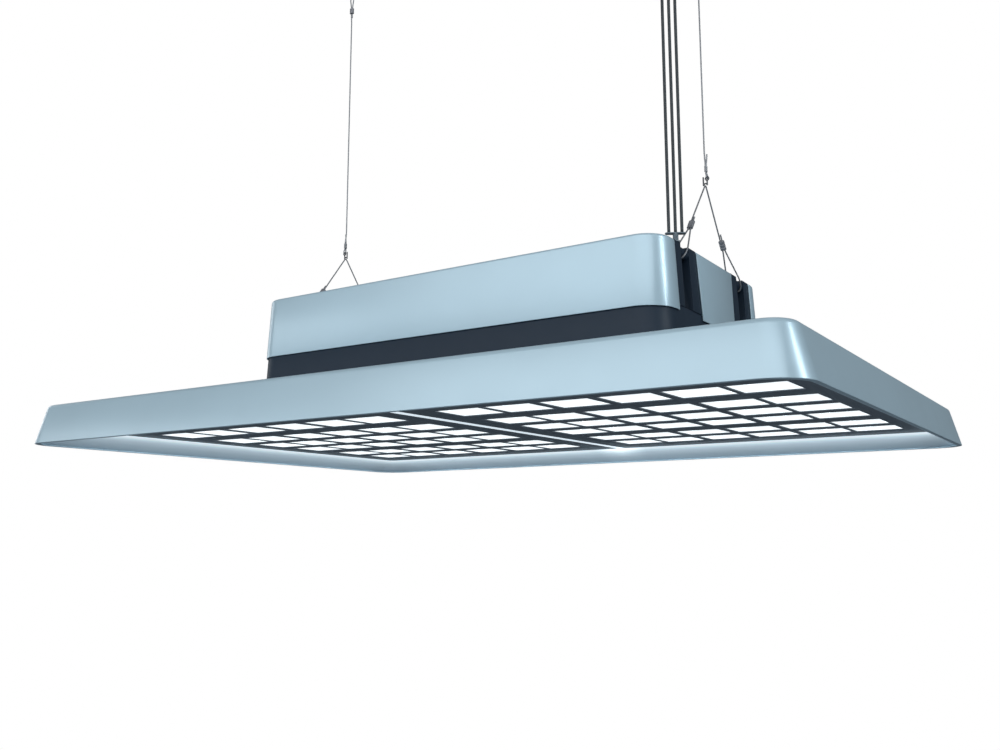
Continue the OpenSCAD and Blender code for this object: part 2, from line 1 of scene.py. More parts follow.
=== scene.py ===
# Hanging LED grow light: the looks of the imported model, in metres, in the shared frame.
import json
import math

import bmesh
import bpy
from mathutils import Matrix, Vector

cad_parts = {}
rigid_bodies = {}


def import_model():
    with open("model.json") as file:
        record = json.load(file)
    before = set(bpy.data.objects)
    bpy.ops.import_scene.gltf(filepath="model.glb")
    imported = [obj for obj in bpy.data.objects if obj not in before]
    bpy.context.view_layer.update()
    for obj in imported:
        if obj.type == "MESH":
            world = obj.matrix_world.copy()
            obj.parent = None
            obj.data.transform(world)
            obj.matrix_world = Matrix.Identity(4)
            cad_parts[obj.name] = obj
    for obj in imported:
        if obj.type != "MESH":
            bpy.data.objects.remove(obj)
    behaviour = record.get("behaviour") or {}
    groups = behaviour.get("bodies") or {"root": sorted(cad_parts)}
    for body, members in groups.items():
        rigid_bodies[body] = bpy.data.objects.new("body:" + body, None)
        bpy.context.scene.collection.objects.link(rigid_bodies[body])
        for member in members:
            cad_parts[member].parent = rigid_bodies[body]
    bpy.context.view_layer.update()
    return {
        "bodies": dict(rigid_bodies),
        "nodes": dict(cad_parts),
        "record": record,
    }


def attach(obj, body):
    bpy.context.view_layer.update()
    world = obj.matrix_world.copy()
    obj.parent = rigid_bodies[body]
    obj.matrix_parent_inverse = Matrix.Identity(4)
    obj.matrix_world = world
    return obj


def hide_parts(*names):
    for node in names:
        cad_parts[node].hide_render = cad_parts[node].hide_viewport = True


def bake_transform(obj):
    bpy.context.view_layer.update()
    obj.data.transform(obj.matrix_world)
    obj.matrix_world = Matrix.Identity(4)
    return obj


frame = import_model()
NODES = frame["nodes"]


# ---- sizes, with heights above the tray's rim

RIM = -0.920  # the rim's own height in the frame
SIDES = {"left": -1, "right": 1}
SHEET = 0.0016  # wall of the painted sheets

TRAY_L, TRAY_W, TRAY_H, TRAY_CORNER, TRAY_IN, TRAY_EDGE = 1.200, 0.8775, 0.060, 0.046, 0.022, 0.008
TRAY_LEAN = math.atan(TRAY_IN / (TRAY_H - TRAY_EDGE)) - math.asin(
    TRAY_EDGE / math.hypot(TRAY_IN, TRAY_H - TRAY_EDGE))
RIM_LIP = 0.007
PANEL_Z = 0.0252
BEZEL_IN, BEZEL_T, BEZEL_GAP = 0.0335, 0.0012, 0.0023
BEZEL_TOP = PANEL_Z - BEZEL_T
WINDOW, LENS_H, LENS_IN = 0.0714, 0.006, 0.0014  # a lens sits LENS_IN inside the panel's face

BOX_L, BOX_W, BOX_TOP, BOX_CORNER, BOX_EDGE = 0.710, 0.377, 0.242, 0.038, 0.004
BOX_DRAFT = math.radians(3)
COVER_Z, COVER_LAP, COVER_FLANGE, PLINTH_IN = 0.146, 0.008, 0.012, 0.0028
END_PANEL_X, END_PANEL_Y, END_PANEL_LEAN, COVER_Y = 0.316, 0.066, 0.006, 0.140
SCREW_R, SCREW_H, SCREW_IN = 0.0035, 0.0005, 0.008

HANGER_X = 0.3455  # place of each drop wire
BAR_R, BAR_Z, BAR_Y = 0.008, 0.232, (0.08475, 0.12325)
FERRULE_R, FERRULE_GAP, TAIL_R, TAIL_GAP = 0.003, 0.0014, 0.0018, 0.0012
UPPER_FERRULE_Z, TAIL_SLEEVE_Z, TAIL_SLEEVE_X = (0.839, 0.849), (0.378, 0.387), 0.0016
HOOK_R, HOOK_LOW, HOOK_BEND, HOOK_TIP, HOOK_EYE, HOOK_EYE_R = 0.0011, 0.355, 0.0029, 0.013, 0.368, 0.0024
# The ceiling fittings' heights count from the ceiling
LINK_ROD, LINK_BEND, LINK_TOP, LINK_LOW = 0.002, 0.0051, -0.030, -0.0469
EYE_ROD, EYE_R, EYE_Z, EYE_NECK_Z = 0.0025, 0.009, -0.021, -0.0125

GLAND = (0.349, -0.12205)
STEM_H, STEM_R, NUT_R, DISC_L, DISC_W, DISC_T = 0.011, 0.0038, 0.006, 0.028, 0.008, 0.002
DISC_TURN = math.radians(30)
PLUG_R, PLUG_H = 0.0055, 0.034


# ---- camera

def add_camera():
    data = bpy.data.cameras.new("camera")
    data.sensor_width = 36
    data.lens = 35.48
    data.clip_end = 100
    camera = bpy.data.objects.new("camera", data)
    camera.location = (0.8464, -1.2958, -1.0579)
    camera.rotation_euler = (math.radians(99.20), math.radians(0.064), math.radians(33.45))
    bpy.context.collection.objects.link(camera)
    bpy.context.scene.camera = camera


add_camera()


# ---- finishes

class Finish:
    """A material under construction: its nodes, its links and its shader."""

    def __init__(self, name):
        self.material = bpy.data.materials.new(name)
        self.material.use_nodes = True
        self.nodes = self.material.node_tree.nodes
        self.links = self.material.node_tree.links
        self.shader = self.nodes["Principled BSDF"]
        self.where = self.nodes.new("ShaderNodeTexCoord").outputs["Object"]

    def set(self, **values):
        for key, value in values.items():
            self.shader.inputs[key.replace("_", " ")].default_value = value
        return self

    def stretched(self, scale):
        mapping = self.nodes.new("ShaderNodeMapping")
        mapping.inputs["Scale"].default_value = scale
        self.links.new(self.where, mapping.inputs["Vector"])
        return mapping.outputs["Vector"]

    def along(self, axis):
        parts = self.nodes.new("ShaderNodeSeparateXYZ")
        self.links.new(self.where, parts.inputs["Vector"])
        return parts.outputs[axis]

    def noise(self, scale, detail=4, rough=0.5, stretch=None):
        node = self.nodes.new("ShaderNodeTexNoise")
        node.inputs["Scale"].default_value = scale
        node.inputs["Detail"].default_value = detail
        node.inputs["Roughness"].default_value = rough
        self.links.new(self.stretched(stretch) if stretch else self.where, node.inputs["Vector"])
        return node.outputs["Fac"]

    def ramp(self, source, stops):
        node = self.nodes.new("ShaderNodeValToRGB")
        marks = node.color_ramp.elements
        while len(marks) < len(stops):
            marks.new(0.5)
        for mark, (place, colour) in zip(marks, stops):
            mark.position = place
            mark.color = (*colour, 1)
        self.links.new(source, node.inputs["Fac"])
        return node.outputs["Color"]

    def span(self, source, low, high, start=0.0, end=1.0):
        node = self.nodes.new("ShaderNodeMapRange")
        node.inputs["From Min"].default_value = start
        node.inputs["From Max"].default_value = end
        node.inputs["To Min"].default_value = low
        node.inputs["To Max"].default_value = high
        self.links.new(source, node.inputs["Value"])
        return node.outputs["Result"]

    def bump(self, height, strength, distance):
        node = self.nodes.new("ShaderNodeBump")
        node.inputs["Strength"].default_value = strength
        node.inputs["Distance"].default_value = distance
        self.links.new(height, node.inputs["Height"])
        self.links.new(node.outputs["Normal"], self.shader.inputs["Normal"])

    def feed(self, socket, source):
        self.links.new(source, self.shader.inputs[socket])


def shade(colour, factor):
    return tuple(min(1, c * factor) for c in colour)


def powder_coat(name, colour, roughness, metallic=0.0, grain=900, coat=0.0, shine=0.5):
    """Satin powder coat: fine orange peel, faint cloudiness and a little dust in its roughness."""
    f = Finish(name).set(Metallic=metallic, Coat_Weight=coat, Coat_Roughness=0.2, Specular_IOR_Level=shine)
    cloud = f.noise(3.5, 3, 0.55)
    f.feed("Base Color", f.ramp(cloud, [(0.3, shade(colour, 0.96)), (0.7, shade(colour, 1.04))]))
    f.feed("Roughness", f.span(f.noise(40, 5, 0.6), roughness - 0.05, roughness + 0.06))
    f.bump(f.noise(grain, 2, 0.5), 0.12, 0.0002)
    return f


def coat_with_painted_glow(name, colour, roughness):
    """Pale powder coat round the windows, with painted light: an emission glow painted on the coat, strongest
    next to the panel and at the divider, where the windows' light falls on it.
    """
    f = powder_coat(name, colour, roughness)
    painted_glow_stops, tint = [(0, 0.012), (0.4, 0.075), (0.65, 0.19), (0.82, 0.38), (1, 0.85)], (0.82, 0.94, 1.0)
    # Painted glow: emission that grows toward the panel's edge and fades toward the rim.
    rise = f.span(f.along("Z"), 0, 1, RIM + SHEET, RIM + BEZEL_TOP)
    f.feed("Emission Color", f.ramp(rise, [(at, shade(tint, k)) for at, k in painted_glow_stops]))
    # Painted glow, stronger at the middle, where the bright divider meets the bezel.
    across = f.span(f.along("X"), 0, 1, -0.05, 0.05)
    middle = f.ramp(across, [(0, (0, 0, 0)), (0.5, (1, 1, 1)), (1, (0, 0, 0))])
    f.feed("Emission Strength", f.span(middle, 1.0, 2.2))
    return f


def drawn_metal(name, colour, roughness, stretch=(1, 12, 12), grain=260, metallic=0.9):
    """Bare metal with fine drawing lines along one direction."""
    f = Finish(name).set(Metallic=metallic)
    lines = f.noise(grain, 3, 0.6, stretch)
    f.feed("Base Color", f.ramp(f.noise(14, 4, 0.6), [(0.3, shade(colour, 0.9)), (0.7, shade(colour, 1.08))]))
    f.feed("Roughness", f.span(lines, roughness - 0.1, roughness + 0.14))
    f.bump(lines, 0.08, 0.0002)
    return f


def moulded(name, colour, roughness=0.5, relief=0.2):
    """Moulded plastic or rubber with a fine matt grain."""
    f = Finish(name)
    mottle = f.noise(25, 4, 0.6)
    f.feed("Base Color", f.ramp(mottle, [(0.3, shade(colour, 0.88)), (0.7, shade(colour, 1.12))]))
    f.feed("Roughness", f.span(f.noise(60, 4, 0.6), roughness - 0.08, roughness + 0.1))
    f.bump(f.noise(1500, 2, 0.5), relief, 0.0001)
    return f


def glowing(name, colour, strength, low):
    """A glowing surface: it glows evenly, with a faint fine prism pattern. On the lenses and chips this is
    the lamp's own light; on the centre divider, which is no lamp, it is painted light.
    """
    f = Finish(name).set(Base_Color=(0.9, 0.95, 0.97, 1), Roughness=0.3)
    f.feed("Emission Color", f.ramp(f.noise(9, 2, 0.5), [(0.3, shade(colour, 0.97)), (0.7, colour)]))
    f.feed("Emission Strength", f.span(f.noise(220, 2, 0.5), low, strength, 0.3, 0.7))
    return f


FINISHES = {
    "pale_paint": powder_coat("pale_paint", (0.485, 0.65, 0.745), 0.34, metallic=0.25, coat=0.4),
    # The bezel's coat carries a painted glow: painted light, not a lamp.
    "bezel_paint": coat_with_painted_glow("bezel_paint", (0.43, 0.53, 0.6), 0.42),
    # The centre divider is no lamp: its glow is painted light.
    "white_strip": glowing("white_strip", (0.8, 0.9, 0.97), 0.8, 0.7),
    "slate_panel": powder_coat("slate_panel", (0.12, 0.145, 0.175), 0.5, grain=700),
    "window_lens": glowing("window_lens", (0.93, 0.985, 1.0), 0.97, 0.93),
    "board_white": powder_coat("board_white", (0.8, 0.83, 0.8), 0.5),
    "led_chip": glowing("led_chip", (1.0, 0.97, 0.75), 1.5, 1.2),
    "bare_aluminium": drawn_metal("bare_aluminium", (0.62, 0.65, 0.68), 0.38),
    "dark_paint": powder_coat("dark_paint", (0.010, 0.023, 0.042), 0.5, shine=0.3),
    "driver_case": powder_coat("driver_case", (0.02, 0.022, 0.025), 0.5),
    "terminal_plastic": moulded("terminal_plastic", (0.66, 0.63, 0.5)),
    "gland_plastic": moulded("gland_plastic", (0.13, 0.17, 0.2), 0.4),
    "screw_steel": drawn_metal("screw_steel", (0.5, 0.52, 0.54), 0.3, (1, 1, 1), 500),
    "cable_rubber": moulded("cable_rubber", (0.03, 0.04, 0.047), 0.55, relief=0.06),
    "connector_plastic": moulded("connector_plastic", (0.015, 0.017, 0.02), 0.42),
    "clip_plastic": moulded("clip_plastic", (0.03, 0.035, 0.04), 0.45),
    "ceiling_fitting": drawn_metal("ceiling_fitting", (0.62, 0.64, 0.66), 0.32),
    "bright_steel": drawn_metal("bright_steel", (0.5, 0.54, 0.58), 0.28),
    "steel_wire": drawn_metal("steel_wire", (0.30, 0.31, 0.33), 0.45, (1, 1, 6), 500, metallic=0.5),
    "zinc_ferrule": drawn_metal("zinc_ferrule", (0.28, 0.285, 0.31), 0.42, (1, 1, 1), 400, metallic=0.6),
    "dark_steel": drawn_metal("dark_steel", (0.12, 0.13, 0.14), 0.4, (1, 1, 1), 400),
}


def dress(piece, slot):
    piece.data.materials.clear()
    piece.data.materials.append(FINISHES[slot].material)


# ---- modelling tools

def start_piece(name, add_primitive, **settings):
    """Adds a primitive and opens it in edit mode with all of it selected."""
    bpy.ops.object.select_all(action="DESELECT")
    add_primitive(**settings)
    piece = bpy.context.object
    piece.name = piece.data.name = name
    bpy.ops.object.mode_set(mode="EDIT")
    bpy.ops.mesh.select_all(action="SELECT")
    return piece


def reopen(piece):
    bpy.ops.object.select_all(action="DESELECT")
    piece.select_set(True)
    bpy.context.view_layer.objects.active = piece
    bpy.ops.object.mode_set(mode="EDIT")


def pick(piece, kind, wanted):
    """Selects the vertices, edges or faces that pass a test."""
    bpy.ops.mesh.select_mode(type=kind)
    bpy.ops.mesh.select_all(action="DESELECT")
    shape = bmesh.from_edit_mesh(piece.data)
    shape.normal_update()
    for item in {"VERT": shape.verts, "EDGE": shape.edges, "FACE": shape.faces}[kind]:
        item.select_set(bool(wanted(item)))
    shape.select_flush_mode()
    bmesh.update_edit_mesh(piece.data)


def apply_modifier(piece, kind, **settings):
    modifier = piece.modifiers.new(kind, kind)
    for key, value in settings.items():
        setattr(modifier, key, value)
    bpy.context.view_layer.objects.active = piece
    bpy.ops.object.modifier_apply(modifier=modifier.name)


def soften(piece, width, segments=2, angle=35):
    """Rounds a piece's sharp edges and smooths its curved faces."""
    if bpy.context.mode == "EDIT_MESH":
        bpy.ops.object.mode_set(mode="OBJECT")
    if width:
        apply_modifier(piece, "BEVEL", width=width, segments=segments, limit_method="ANGLE",
                       angle_limit=math.radians(angle))
    bpy.ops.object.select_all(action="DESELECT")
    piece.select_set(True)
    bpy.context.view_layer.objects.active = piece
    bpy.ops.object.shade_smooth_by_angle(angle=math.radians(angle))
    return piece


def seat(piece, body, slot, *nodes):
    """Gives a finished piece its finish and its body, in the place of its CAD nodes."""
    dress(piece, slot)
    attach(piece, body)
    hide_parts(*nodes)
    return piece


def joined(pieces, name):
    bpy.ops.object.select_all(action="DESELECT")
    for piece in pieces:
        piece.select_set(True)
    bpy.context.view_layer.objects.active = pieces[0]
    bpy.ops.object.join()
    pieces[0].name = pieces[0].data.name = name
    return pieces[0]


def copy_at(piece, offset):
    """A copy with its own mesh, moved in its mesh."""
    twin = bpy.data.objects.new(piece.name, piece.data.copy())
    bpy.context.collection.objects.link(twin)
    twin.data.transform(Matrix.Translation(offset))
    return twin


def merged_copy(node, name):
    """A copy of a CAD node with its triangles merged into whole faces."""
    piece = bpy.data.objects.new(name, NODES[node].data.copy())
    bpy.context.collection.objects.link(piece)
    reopen(piece)
    bpy.ops.mesh.select_all(action="SELECT")
    bpy.ops.mesh.remove_doubles(threshold=1e-5)
    bpy.ops.mesh.dissolve_limited(angle_limit=math.radians(0.5))
    bpy.ops.object.mode_set(mode="OBJECT")
    return piece


def refine(node, body, slot, width, segments=2):
    """Replaces a CAD node by its merged copy with rounded edges."""
    return seat(soften(merged_copy(node, f"{node}_formed"), width, segments), body, slot, node)


# ---- cords

def from_rim(points, shift=0.0, side=1):
    """A route in millimetres, with heights above the rim, as points in the shared frame."""
    return [Vector((side * (x / 1000 + shift), y / 1000, z / 1000 + RIM)) for x, y, z in points]


def run_of(points):
    return sum((b - a).length for a, b in zip(points, points[1:]))


def rounded_route(points, reach, steps=4):
    """Turns each corner of a route into a short bend."""
    route = [points[0]]
    for before, corner, after in zip(points, points[1:], points[2:]):
        way_in, way_out = before - corner, after - corner
        cut = min(reach, 0.48 * way_in.length, 0.48 * way_out.length)
        start, end = corner + way_in.normalized() * cut, corner + way_out.normalized() * cut
        for i in range(steps + 1):
            t = i / steps
            route.append(start * (1 - t) ** 2 + corner * 2 * t * (1 - t) + end * t ** 2)
    return route + [points[-1]]


def spaced(points, gap):
    """The same route with points at an even distance."""
    total = run_of(points)
    count = max(2, round(total / gap))
    out, i, done = [points[0].copy()], 0, 0.0
    for k in range(1, count):
        want = total * k / count
        while done + (points[i + 1] - points[i]).length < want:
            done += (points[i + 1] - points[i]).length
            i += 1
        span = points[i + 1] - points[i]
        out.append(points[i] + span * ((want - done) / span.length))
    return out + [points[-1].copy()]


def tube_mesh(name, line, section, pitch=None):
    """A closed tube along a line. Its section turns once in each pitch, as laid strands do."""
    normal = Vector((1, 0, 0)) if abs((line[1] - line[0]).normalized().x) < 0.8 else Vector((0, 1, 0))
    verts, faces = [], []
    count, done = len(section), 0.0
    for i, point in enumerate(line):
        ahead = line[min(i + 1, len(line) - 1)] - line[max(i - 1, 0)]
        ahead.normalize()
        normal = (normal - ahead * normal.dot(ahead)).normalized()
        across = ahead.cross(normal)
        done += (point - line[i - 1]).length if i else 0
        twist = 2 * math.pi * done / pitch if pitch else 0
        for angle, radius in section:
            turn = angle + twist
            verts.append(point + (normal * math.cos(turn) + across * math.sin(turn)) * radius)
    for i in range(len(line) - 1):
        for k in range(count):
            a, b = i * count + k, i * count + (k + 1) % count
            faces.append((a, b, b + count, a + count))
    last = count * (len(line) - 1)
    faces.append(tuple(range(count - 1, -1, -1)))
    faces.append(tuple(range(last, last + count)))
    mesh = bpy.data.meshes.new(name)
    mesh.from_pydata(verts, [], faces)
    mesh.update()
    piece = bpy.data.objects.new(name, mesh)
    bpy.context.collection.objects.link(piece)
    for face in mesh.polygons:
        face.use_smooth = len(face.vertices) == 4
    return piece


def round_section(radius, count=12):
    return [(2 * math.pi * k / count, radius) for k in range(count)]


def strand_section(radius, strands=6, per_strand=4):
    """Outline of strands laid round a core: shallow lobes, all inside the radius."""
    count = strands * per_strand
    angles = [2 * math.pi * k / count for k in range(count)]
    return [(angle, radius * (0.93 + 0.07 * math.cos(strands * angle))) for angle in angles]


WIRE_D, WIRE_PITCH, LEAD_D = 0.0023, 0.013, 0.0042

# Routes in millimetres, from each hanger's line outwards
SLING_HALF = [(1.4, 49, 297), (1.4, 55, 289), (1.4, 64, 277.5), (10.2, 98, 239), (9.8, 103, 232),
              (8.5, 107, 227.1), (4.9, 108, 223.5), (0, 108.5, 222.2), (-4.9, 108, 223.5),
              (-8.5, 107, 227.1), (-9.8, 103, 232), (-9.3, 99, 237), (-1.4, 64, 277.5),
              (-1.4, 55, 289), (0, 5, 353), (0, 2, 356.8)]
SLING_TOP = (0, 0, 357.4)
DROP_ROUTE = [(-1.2, 0, 830), (-1.2, 0, 850), (-3.8, 0, 866.5), (-2.9, 0, 870.6), (0, 0, 872),
              (2.9, 0, 870.6), (3.8, 0, 866.5), (1.2, 0, 850), (1.2, 0, 838), (0, 0, 820), (0, 0, 404),
              (1.6, -1.2, 388), (1.6, -1.2, 377), (2.9, -2.6, 372), (2.9, -2.2, 369.1), (2.9, 0, 368),
              (2.9, 2.2, 369.1), (2.9, 2.6, 372), (1.6, 1.2, 377), (1.6, 1.2, 388), (3.2, 1.8, 405)]
LEAD_FOOT = [(341.5, -126.5), (349, -122), (356.5, -118)]
LEAD_HEAD = [(332, -14), (345, -14), (358, -14)]
LEAD_BASE, LEAD_BEND, CLIP_LOW, LEAD_END = 255.0, 600, 800, 830


def taut_wire(name, word, route, node):
    """A laid strand, held taut along its route."""
    side = SIDES[word]
    line = spaced(rounded_route(from_rim(route, HANGER_X, side), 0.006), 0.001)
    piece = tube_mesh(f"{name}_{word}", line, strand_section(WIRE_D / 2), WIRE_PITCH)
    seat(piece, f"{word}_hanger", "steel_wire", node)


def drop_wire(word, fittings):
    taut_wire("drop_wire", word, DROP_ROUTE, f"wire_{word}")


def sling_wire(word, fittings):
    front = [(x, -y, z) for x, y, z in SLING_HALF]
    route = front + [SLING_TOP] + SLING_HALF[::-1]
    taut_wire("sling_wire", word, route, f"bridle_{word}")


def lead_route(i):
    (x0, y0), (x1, y1) = LEAD_FOOT[i], LEAD_HEAD[i]
    lean = (x1 - x0) / 4
    return from_rim([(x0, y0, LEAD_BASE), (x0, y0, LEAD_BEND), (x0 + lean, y0 + 12, LEAD_BEND + 50),
                     (x1 - lean, y1 - 12, CLIP_LOW - 50), (x1, y1, CLIP_LOW), (x1, y1, LEAD_END)])


def power_lead(i, fittings):
    line = spaced(rounded_route(lead_route(i), 0.05, 10), 0.004)
    piece = tube_mesh(f"supply_lead_{i + 1}", line, round_section(LEAD_D / 2, 14))
    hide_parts(f"power_lead_{i + 1}")
    dress(piece, "cable_rubber")
    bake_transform(piece)


# ---- small turned and bent pieces

def turned(name, radius, section, sides=32, stretch=0.0):
    """A closed body that grows upward from a disc: each step is (height, radius)."""
    piece = start_piece(name, bpy.ops.mesh.primitive_circle_add, vertices=sides, radius=radius,
                        fill_type="NGON", rotation=(0, 0, math.pi / sides))
    bpy.ops.object.mode_set(mode="OBJECT")
    bpy.ops.object.transform_apply(location=False, rotation=True, scale=False)
    reopen(piece)
    for side in (-1, 1):
        pick(piece, "VERT", lambda vert: vert.co.x * side > 1e-6)
        bpy.ops.transform.translate(value=(side * stretch, 0, 0))
    pick(piece, "FACE", lambda face: True)
    low, wide = 0.0, radius
    for height, next_wide in section:
        bpy.ops.mesh.extrude_region_move(TRANSFORM_OT_translate={"value": (0, 0, height - low)})
        across = (next_wide + stretch) / (wide + stretch)
        bpy.ops.transform.resize(value=(across, next_wide / wide, 1), center_override=(0, 0, 0))
        low, wide = height, next_wide
    bpy.ops.mesh.select_all(action="SELECT")
    bpy.ops.mesh.normals_make_consistent(inside=False)
    bpy.ops.object.mode_set(mode="OBJECT")
    return piece


def stood(piece, foot, top=None, turn=0.0):
    """Moves a turned piece to its foot, leaning toward a point."""
    way = (Vector(top) - Vector(foot)) if top else Vector((0, 0, 1))
    lean = Vector((0, 0, 1)).rotation_difference(way)
    piece.data.transform(Matrix.Translation(foot) @ lean.to_matrix().to_4x4() @ Matrix.Rotation(turn, 4, "Z"))
    return piece


def sleeve_section(radius, height, crimps):
    """A pressed sleeve: rounded ends and evenly spaced crimp marks."""
    section = [(radius * 0.12, radius), ]
    for i in range(crimps):
        middle = height * (i + 1) / (crimps + 1)
        section += [(middle - 0.0009, radius), (middle - 0.0005, radius * 0.9),
                    (middle + 0.0005, radius * 0.9), (middle + 0.0009, radius)]
    return section + [(height - radius * 0.12, radius), (height, radius * 0.88)]


def sleeve(name, radius, gap, foot, top, crimps, turn=0.0):
    height = (Vector(top) - Vector(foot)).length
    piece = turned(name, radius * 0.88, sleeve_section(radius, height, crimps), 24, gap)
    return soften(stood(piece, foot, top, turn), 0)


def bent_rod(name, radius, start, heading, moves, sides=12, closed=False):
    """A round rod. A move goes along a vector, or turns by degrees about a centre in the X-Z plane."""
    piece = start_piece(name, bpy.ops.mesh.primitive_circle_add, vertices=sides, radius=radius,
                        fill_type="NGON")
    bpy.ops.object.mode_set(mode="OBJECT")
    stood(piece, start, Vector(start) + Vector(heading))
    reopen(piece)
    bpy.ops.mesh.select_mode(type="FACE")
    bpy.ops.mesh.select_all(action="SELECT")
    for move in moves:
        if len(move) == 3:
            bpy.ops.mesh.extrude_region_move(TRANSFORM_OT_translate={"value": move})
        else:
            centre, degrees = move
            bpy.ops.mesh.spin(steps=max(8, round(abs(degrees) / 15)), angle=math.radians(degrees),
                              center=centre, axis=(0, 1, 0))
    bpy.ops.mesh.select_all(action="SELECT")
    bpy.ops.mesh.remove_doubles(threshold=1e-6)
    if closed:
        pick(piece, "FACE", lambda face: len(face.verts) > 4)
        bpy.ops.mesh.delete(type="ONLY_FACE")
        bpy.ops.mesh.select_all(action="SELECT")
    bpy.ops.mesh.normals_make_consistent(inside=False)
    bpy.ops.object.mode_set(mode="OBJECT")
    return piece


def sling_ferrules(word, side):
    """The ferrules over the tails of a sling, on the straight runs of its route."""
    high, low = SLING_HALF[1:3]
    pair = []
    for y in (-1, 1):
        ends = from_rim([(0, y * point[1], point[2]) for point in (low, high)], HANGER_X, side)
        pair.append(sleeve("crimp", FERRULE_R, FERRULE_GAP, *ends, 2))
    return seat(joined(pair, f"sling_ferrules_{word}"), f"{word}_hanger", "zinc_ferrule", f"ferrules_{word}")


def wire_sleeves(word, side):
    foot, top = [(side * HANGER_X, 0, RIM + z) for z in UPPER_FERRULE_Z]
    upper = sleeve(f"upper_ferrule_{word}", FERRULE_R, TAIL_GAP, foot, top, 2)
    seat(upper, f"{word}_hanger", "zinc_ferrule", f"top_ferrule_{word}")
    foot, top = [(side * (HANGER_X + TAIL_SLEEVE_X), 0, RIM + z) for z in TAIL_SLEEVE_Z]
    lower = sleeve(f"tail_crimp_{word}", TAIL_R, TAIL_GAP, foot, top, 1, math.pi / 2)
    seat(lower, f"{word}_hanger", "steel_wire", f"tail_sleeve_{word}")
    return upper, lower


def hook(word, side):
    x, low, eye = side * HANGER_X, RIM + HOOK_LOW + HOOK_BEND, RIM + HOOK_EYE
    shank = eye - HOOK_EYE_R - low
    rod = bent_rod("hook_rod", HOOK_R, (x - side * HOOK_BEND, 0, low + HOOK_TIP), (0, 0, 1),
                   [(0, 0, -HOOK_TIP), ((x, 0, low), -180 * side), (0, 0, shank)])
    ring = bent_rod("hook_ring", HOOK_R, (x + side * (HOOK_BEND + HOOK_EYE_R), 0, eye), (0, 0, 1),
                    [((x + side * HOOK_BEND, 0, eye), 360)], closed=True)
    piece = soften(joined([rod, ring], f"sling_hook_{word}"), 0.00025)
    return seat(piece, f"{word}_hanger", "dark_steel", f"hook_{word}")


def ceiling_link(word, side):
    rise = (0, 0, LINK_TOP - LINK_LOW)
    fall = (0, 0, LINK_LOW - LINK_TOP)
    piece = bent_rod(f"oval_link_{word}", LINK_ROD, (-LINK_BEND, 0, LINK_LOW), (0, 0, 1),
                     [rise, ((0, 0, LINK_TOP), 180), fall, ((0, 0, LINK_LOW), 180)], closed=True)
    piece = soften(stood(piece, (side * HANGER_X, 0, 0), turn=math.pi / 2), 0)
    seat(piece, f"{word}_ring", "bright_steel", f"link_{word}")


def ceiling_eye(word, side):
    x = side * HANGER_X
    ring = bent_rod("eye_ring", EYE_ROD, (x + EYE_R, 0, EYE_Z), (0, 0, 1),
                    [((x, 0, EYE_Z), 360)], closed=True, sides=16)
    shank = turned("eye_shank", EYE_ROD, [(0.0052, EYE_ROD), (0.0055, 0.0052), (0.0058, 0.0055),
                                          (0.0082, 0.0055), (0.0085, 0.0052)])
    piece = joined([ring, stood(shank, (x, 0, EYE_NECK_Z))], f"screw_eye_{word}")
    seat(soften(piece, 0), "ceiling", "bright_steel", f"ceiling_eye_{word}")


def hanger_bars():
    long, rounding = BAR_Y[1] - BAR_Y[0], 0.0007
    neck = BAR_R - rounding
    bars = []
    for x in (-HANGER_X, HANGER_X):
        for side in (-1, 1):
            bar = turned("bar", neck, [(rounding, BAR_R), (long - rounding, BAR_R), (long, neck)], 40)
            ends = [(x, side * y, RIM + BAR_Z) for y in BAR_Y]
            bars.append(stood(bar, *ends))
    seat(soften(joined(bars, "suspension_bars"), 0), "lamp", "dark_paint", "hanger_bars")


def cover_screws():
    """Countersunk screws, nearly flush with the covers' flanges, with a round recess in the head."""
    model = turned("flush_screw", SCREW_R, [(0.0002, SCREW_R), (SCREW_H, SCREW_R - 0.0004)], 24)
    reopen(model)
    pick(model, "FACE", lambda face: face.normal.z > 0.9)
    bpy.ops.mesh.inset(thickness=0.0009)
    bpy.ops.mesh.extrude_region_move(TRANSFORM_OT_translate={"value": (0, 0, -0.0004)})
    bpy.ops.transform.resize(value=(0.8, 0.8, 1), center_override=(0, 0, 0))
    bpy.ops.object.mode_set(mode="OBJECT")
    gap, y = BOX_L / 9, BOX_W / 2 - SCREW_IN
    places = [(x * (i + 0.5) * gap, side * y) for x in (-1, 1) for side in (-1, 1) for i in range(4)]
    copies = [copy_at(model, (*place, RIM + BOX_TOP)) for place in places]
    bpy.data.objects.remove(model)
    seat(soften(joined(copies, "flange_screws"), 0), "lamp", "screw_steel", "cover_screws")


def gland():
    stem_foot = (*GLAND, RIM + BOX_TOP)
    nut = turned("gland_nut", NUT_R - 0.0003, [(0.0003, NUT_R), (0.0017, NUT_R), (0.002, NUT_R - 0.0003)], 6)
    thread = []
    for i in range(5):
        z = 0.003 + i * 0.0014
        thread += [(z, STEM_R), (z + 0.0003, STEM_R * 0.9), (z + 0.0007, STEM_R * 0.9), (z + 0.001, STEM_R)]
    stem = turned("gland_tube", STEM_R, [*thread, (STEM_H, STEM_R)])
    piece = joined([stood(nut, stem_foot), stood(stem, stem_foot)], "gland_neck")
    seat(soften(piece, 0), "lamp", "gland_plastic", "gland_stem")
    disc_foot = (*GLAND, RIM + BOX_TOP + STEM_H)
    side = DISC_W / 2
    edge = side - 0.0006
    profile = [(0.0004, side), (DISC_T - 0.0005, side), (DISC_T, edge)]
    disc = turned("gland_cap", edge, profile, 32, (DISC_L - DISC_W) / 2)
    seat(soften(stood(disc, disc_foot, turn=DISC_TURN), 0), "lamp", "gland_plastic", "gland_disc")


